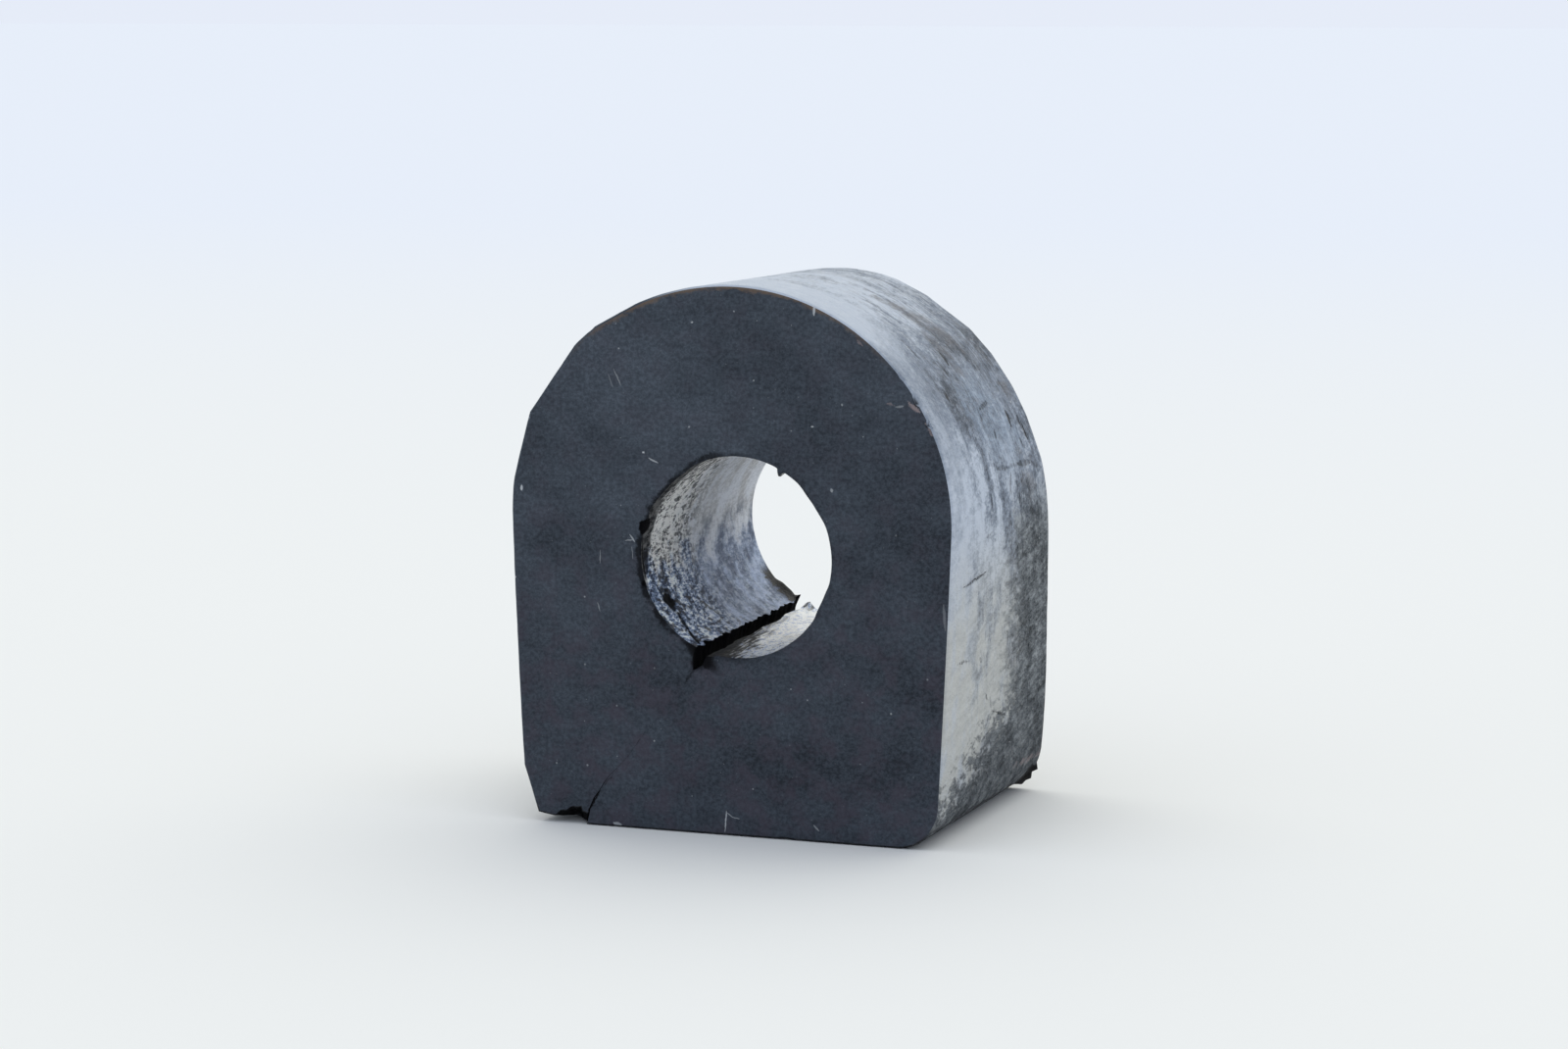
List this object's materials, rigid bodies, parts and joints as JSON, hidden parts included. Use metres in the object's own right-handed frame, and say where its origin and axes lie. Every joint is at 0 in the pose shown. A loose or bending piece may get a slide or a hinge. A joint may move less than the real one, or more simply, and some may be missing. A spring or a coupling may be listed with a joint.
{
  "type": "sway bar bushing",
  "caption": "D-shaped block of moulded rubber with a round bore for a sway bar, slit from the bore to its flat seat so that it opens over the bar.",
  "frame": {"origin": "on the flat seat, under the middle of the block's bounding box", "axes": "+Z from the seat up to the crown of the arch, +Y along the bore from the front face to the back face, +X to the right seen from the front"},
  "size_m": [0.0464, 0.0334, 0.0547],
  "materials": {
    "rubber": "matte, bloomed and worn, with scuffs and dust"
  },
  "bodies": {
    "root": {"bushing": "rubber"}
  },
  "joints": []
}
